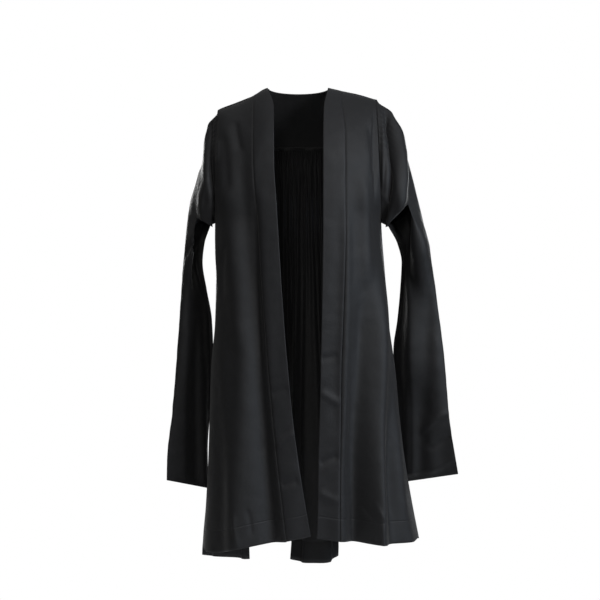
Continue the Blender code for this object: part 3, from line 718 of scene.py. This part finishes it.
def back_grid(across, fall):
    """Points of the back. fall is 0 at the yoke's seam, 1 at the underarm and 2 at the hem."""
    rows = flute_rows()
    last = rows[-1].index
    index = across * last
    rounded = index + FLUTE_ROUNDNESS * np.sin(2 * math.pi * index) / (2 * math.pi)
    hem = stack(read(rows, "x", rounded), read(rows, "y", index), read(rows, "z", index))
    hem_z = hem[..., 2]
    z = np.where(
        fall < 1,
        mix(YOKE_Z + SEAM_REACH, UNDERARM_Z, fall),
        mix(UNDERARM_Z, hem_z, fall - 1),
    )
    base, outwards = back_base(across, z)
    hem_base, _ = back_base(across, hem_z)
    down = np.maximum(YOKE_Z - z, 0.0) / (YOKE_Z - hem_z)
    edge = ease(np.minimum(index, last - index)) * ease((YOKE_Z - z) / 0.004)
    depth = mix(GATHER_DEPTH, GATHER_DEPTH_BELOW, ease((YOKE_Z - z) / GATHER_GROWTH)) * (1 - down)
    gather = -np.cos(math.pi * index) * depth * edge
    gather = gather + fine_gathers(across, YOKE_Z - z) * edge
    points = base + outwards * gather[..., None] + (hem - hem_base) * (down**FLUTE_POWER)[..., None]
    ripples = hanging_ripples(points, 2.7, across=0.035, depth=0.0025) + small_creases(points, 5.0)
    return points + outwards * (ripples * edge * ease((YOKE_Z - z) / 0.1))[..., None], outwards


def row_points(rows, at):
    """The points that a table's x, y and z columns give at places between its rows, with x outwards."""
    return stack(*(read(rows, column, at) for column in ("x", "y", "z")))


def edge_points(rows, z):
    """Points on a sleeve's outer or inner edge, with x outwards."""
    return stack(read(rows, "x", z), read(rows, "y", z), z)


def cap_grid(side, facing, t, down):
    """Points of the sleeve between the armhole and the slit, with x outwards. t is 0 at the outer edge."""
    gap = np.array([ARMHOLE_SEAM, 0.0, 0.0])
    seam = armhole_grid(side, facing, t) + gap
    tip = armhole_grid(side, facing, np.zeros_like(t)) + gap
    rim = row_points(side.lip if facing == "front" else side.back_loop, t)
    far = down[..., None]
    points = mix(seam, rim, far)
    straight = mix(tip, row_points(side.lip, 0.0), far)
    swell = edge_points(side.outer, straight[..., 2]) - straight
    points = points + swell * ((1 - t) ** CAP_SWELL_POWER * ease(down / CAP_SWELL_SHARE))[..., None]
    puff = CAP_PUFF * np.sin(math.pi * t) ** 0.7 * np.sin(math.pi * down)
    points[..., 1] += (-1 if facing == "front" else 1) * (SLIT_EDGE + puff)
    points[..., 0] += 0.5 * puff
    return points


def hanging_curve(side, facing, t, down):
    """A layer of the sleeve below the slit before its seam gap, with x outwards."""
    front = facing == "front"
    rim = row_points(side.low_lip if front else side.back_loop, t)
    outer_top, inner_top = (row_points(side.back_loop, end) for end in (0.0, 1.0))
    outer = edge_points(side.outer, mix(outer_top[2], side.foot_outer, down))
    inner = edge_points(side.inner, mix(inner_top[2], side.foot_inner, down))
    share = ((1 - np.cos(math.pi * t)) / 2)[..., None]
    moved = rim + mix(outer - outer_top, inner - inner_top, share)
    across = inner - outer
    back_normal = stack(across[..., 1], -across[..., 0], 0.0)
    back_normal /= np.linalg.norm(back_normal, axis=-1, keepdims=True)
    half = read(SLEEVE_THICKNESS, "half", down)
    bulge = read(SLEEVE_THICKNESS, "bulge", down) * t * t
    out = np.sin(math.pi * t) * (bulge - half if front else bulge + half)
    flat = mix(outer, inner, share) + back_normal * out[..., None]
    return mix(moved, flat, ease(down / SLEEVE_SETTLE)[..., None])


def hanging_grid(side, facing, t, down):
    """Points of the sleeve below the slit, with x outwards. down is 0 at the slit and 1 at the foot."""

    def middle(at):
        at = np.clip(at, 0.0, 1.0)
        return (hanging_curve(side, "front", at, down) + hanging_curve(side, "back", at, down)) / 2

    along = middle(t + TANGENT_STEP) - middle(t - TANGENT_STEP)
    back_normal = stack(along[..., 1], -along[..., 0], 0.0)
    back_normal /= np.linalg.norm(back_normal, axis=-1, keepdims=True)
    edge = mix(mix(SLIT_EDGE, CLOSED_EDGE, down), read(SLEEVE_THICKNESS, "edge", down), t)
    lean = -1 if facing == "front" else 1
    return hanging_curve(side, facing, t, down) + back_normal * (edge * lean)[..., None]


def sleeve_layers(side, t, cap_down, hanging_down):
    """Both layers of a sleeve, above and below the slit, with x outwards: {facing: (cap, hanging)}."""
    layers = {}
    for facing in ("front", "back"):
        cap = cap_grid(side, facing, t, cap_down)
        layers[facing] = (cap, hanging_grid(side, facing, t, hanging_down))
    made = {}
    for facing, other in (("front", "back"), ("back", "front")):
        seed = side.sign * (4.1 if facing == "front" else 9.7)
        parts = []
        for part, creases in enumerate((side.cap_creases, side.hanging_creases)):
            points = layers[facing][part]
            normals = normals_of(points)
            away = points - layers[other][part]
            normals *= np.sign((normals * away).sum(-1, keepdims=True) + 1e-9)
            free = ease(t / 0.10) * ease((1 - t) / 0.10)
            share = 1.0 if facing == "front" else BACK_CREASE_SHARE
            depth = share * crease_depth(creases, points[..., 0], points[..., 2])
            if part == 0:
                head = np.sin(2 * math.pi * t * HEAD_GATHERS + 2.0 * np.sin(9.0 * t + seed))
                fading = ease(cap_down / 0.05) * (1 - ease((cap_down - 0.06) / 0.34))
                depth = depth * ease(cap_down / 0.08) * ease((1 - cap_down) / 0.06)
                depth = depth + HEAD_GATHER_DEPTH * head * fading * ease(t / 0.2) * ease((0.6 - t) / 0.2)
                ripple_share = ease(cap_down / 0.1) * ease((1 - cap_down) / 0.1)
            else:
                depth = depth * ease(hanging_down / 0.03) * ease((1 - hanging_down) / 0.04)
                ripple_share = ease(hanging_down / 0.08) * (1 - 0.6 * ease((hanging_down - 0.8) / 0.2))
            ripples = hanging_ripples(points, seed, 0.04, 0.25, 0.0028)
            ripples = ripples + small_creases(points, seed, 0.028, 0.0010)
            parts.append(points + normals * ((depth + ripples * ripple_share) * free)[..., None])
        made[facing] = parts
    return made


def linear(hex_colour):
    """An sRGB hex value, such as 1a1a1d, as the linear colour that a shader takes."""
    parts = [int(hex_colour[i : i + 2], 16) / 255 for i in (0, 2, 4)]
    return tuple(c / 12.92 if c <= 0.04045 else ((c + 0.055) / 1.055) ** 2.4 for c in parts) + (1.0,)


def node(tree, kind, settings=None, inputs=None):
    """Adds a node. settings are its own properties; inputs are values or the sockets that feed it."""
    made = tree.nodes.new(kind)
    for key, value in (settings or {}).items():
        setattr(made, key, value)
    for key, value in (inputs or {}).items():
        if isinstance(value, bpy.types.NodeSocket):
            tree.links.new(value, made.inputs[key])
        else:
            made.inputs[key].default_value = value
    return made


# The weave is drawn coarser than the real thread, about 0.25 mm, so that it shows
THREAD_SPACING_MM = 1.4
SLUB_MM = 9.0
CRUMPLE_MM = 22.0
STITCH_MM = 3.2
HEM_STITCH_ABOVE_MM = 57.0


def hem_stitching(tree, metres, before):
    """A row of stitches that draws the cloth in along the top of the turned-up hem."""
    parts = node(tree, "ShaderNodeSeparateXYZ", {}, {"Vector": metres})
    above = node(
        tree, "ShaderNodeMath", {"operation": "SUBTRACT"}, {0: parts.outputs["Y"], 1: HEM_STITCH_ABOVE_MM / 1000}
    )
    away = node(tree, "ShaderNodeMath", {"operation": "ABSOLUTE"}, {0: above.outputs["Value"]})
    groove = node(
        tree, "ShaderNodeMapRange", {"interpolation_type": "SMOOTHSTEP"},
        {"Value": away.outputs["Value"], "From Min": 0.0, "From Max": STITCH_MM / 1000, "To Min": 0.0, "To Max": 1.0},
    )
    return node(
        tree, "ShaderNodeBump", {},
        {"Strength": 0.45, "Distance": 0.0012, "Height": groove.outputs["Result"], "Normal": before.outputs["Normal"]},
    )


def woven_polyester(name, colour, shade, roughness):
    """Black woven polyester: matt with a soft bloom at grazing angles, from its fine plain weave.

    Its UV map holds real metres across and down the cloth. The small crumple keeps large
    areas from looking like plastic, and the hem is stitched along a line above the edge."""
    material = bpy.data.materials.new(name)
    material.use_nodes = True
    tree = material.node_tree
    tree.nodes.clear()
    place = node(tree, "ShaderNodeUVMap", {"uv_map": "ClothMetres"})
    metres = place.outputs["UV"]
    threads = 1000 / THREAD_SPACING_MM
    warp = node(
        tree, "ShaderNodeTexWave", {"wave_type": "BANDS", "bands_direction": "X"},
        {"Vector": metres, "Scale": threads / 2, "Distortion": 0.6, "Detail": 1.0},
    )
    weft = node(
        tree, "ShaderNodeTexWave", {"wave_type": "BANDS", "bands_direction": "Y"},
        {"Vector": metres, "Scale": threads / 2, "Distortion": 0.6, "Detail": 1.0},
    )
    weave = node(tree, "ShaderNodeMath", {"operation": "MULTIPLY"}, {0: warp.outputs["Fac"], 1: weft.outputs["Fac"]})
    slubs = node(tree, "ShaderNodeTexNoise", {}, {"Vector": metres, "Scale": 1000 / SLUB_MM, "Detail": 3.0})
    crumple = node(
        tree, "ShaderNodeTexNoise", {},
        {"Vector": metres, "Scale": 1000 / CRUMPLE_MM, "Detail": 4.0, "Roughness": 0.55},
    )
    colour_mix = node(
        tree, "ShaderNodeMix", {"data_type": "RGBA"},
        {"Factor": slubs.outputs["Fac"], 6: linear(shade), 7: linear(colour)},
    )
    crumple_bump = node(
        tree, "ShaderNodeBump", {}, {"Strength": 0.16, "Distance": 0.004, "Height": crumple.outputs["Fac"]}
    )
    weave_bump = node(
        tree, "ShaderNodeBump", {},
        {
            "Strength": 0.30,
            "Distance": 0.0004,
            "Height": weave.outputs["Value"],
            "Normal": crumple_bump.outputs["Normal"],
        },
    )
    last_bump = hem_stitching(tree, metres, weave_bump)
    shader = node(
        tree, "ShaderNodeBsdfPrincipled", {},
        {
            "Base Color": colour_mix.outputs[2],
            "Roughness": roughness,
            "IOR": 1.5,
            "Specular IOR Level": 0.35,
            "Sheen Weight": 0.10,
            "Sheen Roughness": 0.5,
            "Normal": last_bump.outputs["Normal"],
        },
    )
    node(tree, "ShaderNodeOutputMaterial", {}, {"Surface": shader.outputs["BSDF"]})
    return material


def cloth_sheet(name, points, wall, slit=None, hemmed=False):
    """A sheet of cloth from a grid of points, with its UV map in real metres, made a thin wall.

    The UV map of a hemmed sheet starts at its lower edge, and of others above the hem's stitches.
    slit is a row, a column and points: the sheet is cut along that row from that column to its
    last, and the cut's lower side takes those points."""
    rows, columns = points.shape[0] - 1, points.shape[1] - 1
    across, down = lengths_along(points, 1), lengths_along(points, 0)
    across -= across[:, :1]
    up = down[-1:] - down + (0.0 if hemmed else 2 * HEM_STITCH_ABOVE_MM / 1000)
    mesh_data = bmesh.new()
    bmesh.ops.create_grid(mesh_data, x_segments=columns, y_segments=rows, size=1.0)
    spots = {}
    for vert in mesh_data.verts:
        spots[vert] = (round((1 - vert.co.y) / 2 * rows), round((vert.co.x + 1) / 2 * columns))
    if slit:
        on_slit = {vert for vert, (row, column) in spots.items() if row == slit[0] and column >= slit[1]}
        cut = [edge for edge in mesh_data.edges if all(vert in on_slit for vert in edge.verts)]
        bmesh.ops.split_edges(mesh_data, edges=cut)
    uv_layer = mesh_data.loops.layers.uv.new("ClothMetres")
    placed = []
    for vert in mesh_data.verts:
        row = round((1 - vert.co.y) / 2 * rows)
        column = round((vert.co.x + 1) / 2 * columns)
        highest = max(face.calc_center_median().y for face in vert.link_faces)
        lower = bool(slit) and row == slit[0] and column > slit[1] and highest < vert.co.y
        placed.append((vert, slit[2][column] if lower else points[row, column]))
        for loop in vert.link_loops:
            loop[uv_layer].uv = (across[row, column], up[row, column])
    for vert, point in placed:
        vert.co = point
    mesh = bpy.data.meshes.new(name)
    mesh_data.to_mesh(mesh)
    mesh_data.free()
    mesh.shade_smooth()
    piece = bpy.data.objects.new(name, mesh)
    bpy.context.scene.collection.objects.link(piece)
    solid = piece.modifiers.new("Wall", "SOLIDIFY")
    solid.thickness = wall
    solid.offset = 0.0
    return piece


def face_outwards(piece, middle):
    """Turns a sheet's faces so that most point away from a middle."""
    votes = sum(1 if face.normal.dot(face.center - middle) > 0 else -1 for face in piece.data.polygons)
    if votes < 0:
        piece.data.flip_normals()


def dress(piece, cad_node, material):
    """Gives a sheet its material, hangs it on the body and hides its CAD node."""
    piece.data.materials.append(material)
    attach(piece, BODY)
    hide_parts(cad_node)
    return piece


class GownSettings(bpy.types.PropertyGroup):
    """Sizes and colours of the gown's cloth."""

    panel_wall: bpy.props.FloatProperty(
        name="Cloth thickness", description="Thickness of the single cloth of the panels",
        default=0.0009, min=0.0004, max=0.003, unit="LENGTH",
    )
    band_wall: bpy.props.FloatProperty(
        name="Band thickness", description="Thickness of the doubled cloth of the front bands",
        default=0.0018, min=0.0008, max=0.004, unit="LENGTH",
    )
    panel_colour: bpy.props.StringProperty(
        name="Cloth colour", description="sRGB hex value of the panels' threads", default="1a1a1c",
    )
    panel_shade: bpy.props.StringProperty(
        name="Cloth shade", description="sRGB hex value between the threads", default="131315",
    )
    band_colour: bpy.props.StringProperty(
        name="Band colour", description="sRGB hex value of the bands' threads", default="1b1b1e",
    )
    band_shade: bpy.props.StringProperty(
        name="Band shade", description="sRGB hex value between the bands' threads", default="151517",
    )


def panel_material(settings):
    """The one cloth that all the panels share."""
    found = bpy.data.materials.get("WovenPolyesterPanel")
    return found or woven_polyester(
        "WovenPolyesterPanel", settings.panel_colour, settings.panel_shade, 0.56
    )


def band_material(settings):
    """The same cloth where it is doubled and pressed."""
    found = bpy.data.materials.get("WovenPolyesterBand")
    return found or woven_polyester(
        "WovenPolyesterBand", settings.band_colour, settings.band_shade, 0.54
    )


class GOWN_OT_yoke(bpy.types.Operator):
    """Makes the flat yoke over both shoulders and the band round the back of the neck"""

    bl_idname = "gown.yoke"
    bl_label = "Yoke and neck band"

    def execute(self, context):
        settings = context.scene.gown
        across, down = np.linspace(0, 1, 241)[None, :], np.linspace(0, 1, 41)[:, None]
        points = yoke_grid(across, down)
        outwards = back_outwards(points[..., 0], points[..., 2])
        points = tucked(points, outwards, left=SEAM_TUCK, right=SEAM_TUCK, from_top=True)
        yoke = cloth_sheet("yoke_cloth", points, settings.panel_wall)
        face_outwards(yoke, Vector((0, 0, -0.2)))
        dress(yoke, "yoke", panel_material(settings))

        total = 2 * (FRONT_SHARE + BAND_SHARE) + NECK_SHARE
        neck = np.linspace(FRONT_SHARE + BAND_SHARE, FRONT_SHARE + BAND_SHARE + NECK_SHARE, 81) / total
        depth = yoke_grid(neck[None, :], np.linspace(0, 1, 201)[:, None])
        fallen = lengths_along(depth, 0)
        band_down = np.linspace(NECK_BAND_SETBACK, NECK_BAND_SETBACK + NECK_BAND_WIDTH, 9)
        band_rows = [
            [np.interp(band_down, fallen[:, c], depth[:, c, axis]) for axis in range(3)]
            for c in range(len(neck))
        ]
        points = np.array(band_rows).transpose(2, 0, 1)
        lift = -normals_of(points)
        lift[lift[..., 2] < 0] *= -1
        band = cloth_sheet("neck_band_cloth", points + lift * BAND_LIFT, settings.panel_wall)
        face_outwards(band, Vector((0, 0, -0.2)))
        dress(band, "neck_band", band_material(settings))
        return {"FINISHED"}


class GOWN_OT_back(bpy.types.Operator):
    """Makes the wide back, gathered into the yoke and falling in flutes"""

    bl_idname = "gown.back"
    bl_label = "Back"

    def execute(self, context):
        settings = context.scene.gown
        across = np.linspace(0, 1, 337)[None, :]
        fall = np.concatenate([np.linspace(0, 1, 57), np.linspace(1, 2, 76)[1:]])[:, None]
        points, outwards = back_grid(across, fall)
        points -= outwards * (YOKE_LAP * (1 - ease((YOKE_Z - points[..., 2:]) / SEAM_REACH)))
        points = tucked(points, outwards, left=SEAM_TUCK, right=SEAM_TUCK)
        back = cloth_sheet("back_cloth", points, settings.panel_wall, hemmed=True)
        face_outwards(back, Vector((0, 0, -0.7)))
        dress(back, "back", panel_material(settings))
        return {"FINISHED"}


class GOWN_OT_fronts(bpy.types.Operator):
    """Makes the two front panels with their folds"""

    bl_idname = "gown.fronts"
    bl_label = "Fronts"

    def execute(self, context):
        settings = context.scene.gown
        for side in (RIGHT, LEFT):
            fall = fall_rows(96, 144)
            points, outwards = front_grid(side, "seam", "side", np.linspace(0, 1, 121)[None, :], fall)
            points = tucked(points, outwards, left=BAND_TUCK, right=SEAM_TUCK, from_top=True)
            front = cloth_sheet(f"front_{side.name}_cloth", points, settings.panel_wall, hemmed=True)
            face_outwards(front, Vector((0, 0, -0.6)))
            dress(
                front, f"front_{side.name}", panel_material(settings),
            )
        return {"FINISHED"}


class GOWN_OT_bands(bpy.types.Operator):
    """Makes the doubled band down each opening edge"""

    bl_idname = "gown.bands"
    bl_label = "Front bands"

    def execute(self, context):
        settings = context.scene.gown
        for side in (RIGHT, LEFT):
            fall = fall_rows(96, 144)
            points, outwards = front_grid(side, "edge", "seam", np.linspace(0, 1, 33)[None, :], fall)
            points[..., 0] -= side.sign * BAND_SEAM * np.linspace(0, 1, 33)[None, :]
            points = tucked(points, outwards, right=BAND_TUCK, from_top=True)
            band = cloth_sheet(f"front_band_{side.name}_cloth", points, settings.band_wall, hemmed=True)
            face_outwards(band, Vector((0, 0, -0.6)))
            dress(
                band, f"front_band_{side.name}", band_material(settings),
            )
        return {"FINISHED"}


class GOWN_OT_sleeves(bpy.types.Operator):
    """Makes the long closed sleeves, each a front layer with the slit and a back layer"""

    bl_idname = "gown.sleeves"
    bl_label = "Sleeves"

    def execute(self, context):
        settings = context.scene.gown
        columns, cap_rows, fall = 96, 60, 130
        t = np.linspace(0, 1, columns + 1)[None, :]
        for side in (RIGHT, LEFT):
            cap_down = np.linspace(0, 1, cap_rows + 1)[:, None]
            layers = sleeve_layers(side, t, cap_down, np.linspace(0, 1, fall + 1)[:, None])
            for facing, (cap, hanging) in layers.items():
                seam = armhole_grid(side, facing, t)
                turn = turn_of(side, seam[..., 0], seam[..., 2])
                outwards = stack(np.sin(turn), np.cos(turn) * (-1 if facing == "front" else 1), 0.0)
                cap = tucked(cap, outwards, top=SEAM_TUCK)
                points = np.concatenate([cap, hanging[1:]], axis=0)
                points = tucked(points, np.array([1.0, 0.0, 0.0]), left=SEAM_TUCK, from_top=True)
                slit = None
                if facing == "front":
                    lower = hanging[0].copy()
                    lower[:, 0] *= side.sign
                    slit = (cap_rows, round(columns * SLIT_SHARE), lower)
                points[..., 0] *= side.sign
                name = f"sleeve_{facing}_{side.name}"
                sleeve = cloth_sheet(f"{name}_cloth", points, settings.panel_wall, slit)
                face_outwards(sleeve, Vector((side.sign * 0.27, 0.03, -0.5)))
                dress(
                    sleeve, name, panel_material(settings),
                )
        return {"FINISHED"}


class GOWN_OT_stage(bpy.types.Operator):
    """Makes the pale studio floor, the soft lights and the camera"""

    bl_idname = "gown.stage"
    bl_label = "Studio"

    def execute(self, context):
        scene = context.scene
        mesh_data = bmesh.new()
        bmesh.ops.create_circle(mesh_data, cap_ends=True, segments=96, radius=FLOOR_RADIUS)
        bmesh.ops.translate(mesh_data, verts=mesh_data.verts, vec=(0.0, 0.0, FLOOR_Z))
        mesh = bpy.data.meshes.new("studio_floor")
        mesh_data.to_mesh(mesh)
        mesh_data.free()
        mesh.shade_smooth()
        floor = bpy.data.objects.new("studio_floor", mesh)
        scene.collection.objects.link(floor)
        paper = bpy.data.materials.new("PaintedStudioFloor")
        paper.use_nodes = True
        shader = paper.node_tree.nodes["Principled BSDF"]
        shader.inputs["Base Color"].default_value = linear("f4f4f4")
        shader.inputs["Roughness"].default_value = 0.9
        mesh.materials.append(paper)

        world = bpy.data.worlds.new("StudioWorld")
        world.use_nodes = True
        tree = world.node_tree
        tree.nodes.clear()
        seen = node(tree, "ShaderNodeBackground", {}, {"Color": (1.0, 1.0, 1.0, 1.0), "Strength": 1.0})
        soft = node(tree, "ShaderNodeBackground", {}, {"Color": (1.0, 1.0, 1.0, 1.0), "Strength": ROOM_LIGHT})
        path = node(tree, "ShaderNodeLightPath")
        mixed = node(
            tree, "ShaderNodeMixShader", {},
            {0: path.outputs["Is Camera Ray"], 1: soft.outputs["Background"], 2: seen.outputs["Background"]},
        )
        node(tree, "ShaderNodeOutputWorld", {}, {"Surface": mixed.outputs["Shader"]})
        scene.world = world
        scene.view_settings.view_transform = "Standard"

        for lamp in LAMPS:
            data = bpy.data.lights.new(lamp.name, lamp.kind)
            data.energy = lamp.power
            data.color = lamp.colour
            if lamp.kind == "AREA":
                data.size = lamp.size
            else:
                data.angle = lamp.size
            light = bpy.data.objects.new(lamp.name, data)
            light.location = lamp.place
            aim = Vector((0, 0, -0.55)) - Vector(lamp.place)
            light.rotation_euler = aim.to_track_quat("-Z", "Y").to_euler()
            scene.collection.objects.link(light)

        camera_data = bpy.data.cameras.new("photo_camera")
        camera_data.sensor_width = 36.0
        camera_data.lens = 106.5
        camera = bpy.data.objects.new("photo_camera", camera_data)
        camera.location = (0.004, -4.6, -0.35)
        camera.rotation_euler = (Vector((0.004, 0, -0.5460)) - camera.location).to_track_quat("-Z", "Y").to_euler()
        scene.collection.objects.link(camera)
        scene.camera = camera
        return {"FINISHED"}


class GOWN_PT_panel(bpy.types.Panel):
    """Lists the gown's pieces"""

    bl_idname = "GOWN_PT_panel"
    bl_label = "Graduation gown"
    bl_space_type = "VIEW_3D"
    bl_region_type = "UI"
    bl_category = "Gown"

    def draw(self, context):
        settings = context.scene.gown
        for name in GownSettings.__annotations__:
            self.layout.prop(settings, name)
        for operator in OPERATORS:
            self.layout.operator(operator.bl_idname)


OPERATORS = (GOWN_OT_yoke, GOWN_OT_back, GOWN_OT_fronts, GOWN_OT_bands, GOWN_OT_sleeves, GOWN_OT_stage)
CLASSES = (GownSettings, *OPERATORS, GOWN_PT_panel)


def register():
    """Registers the gown's classes and its settings."""
    for cls in CLASSES:
        bpy.utils.register_class(cls)
    bpy.types.Scene.gown = bpy.props.PointerProperty(type=GownSettings)


def unregister():
    """Takes the gown's settings and classes away again."""
    del bpy.types.Scene.gown
    for cls in reversed(CLASSES):
        bpy.utils.unregister_class(cls)


def main():
    """Makes the gown and its studio."""
    register()
    bpy.ops.object.select_all(action="DESELECT")
    bpy.ops.gown.yoke()
    bpy.ops.gown.back()
    bpy.ops.gown.fronts()
    bpy.ops.gown.bands()
    bpy.ops.gown.sleeves()
    bpy.ops.gown.stage()


if __name__ == "__main__":
    main()
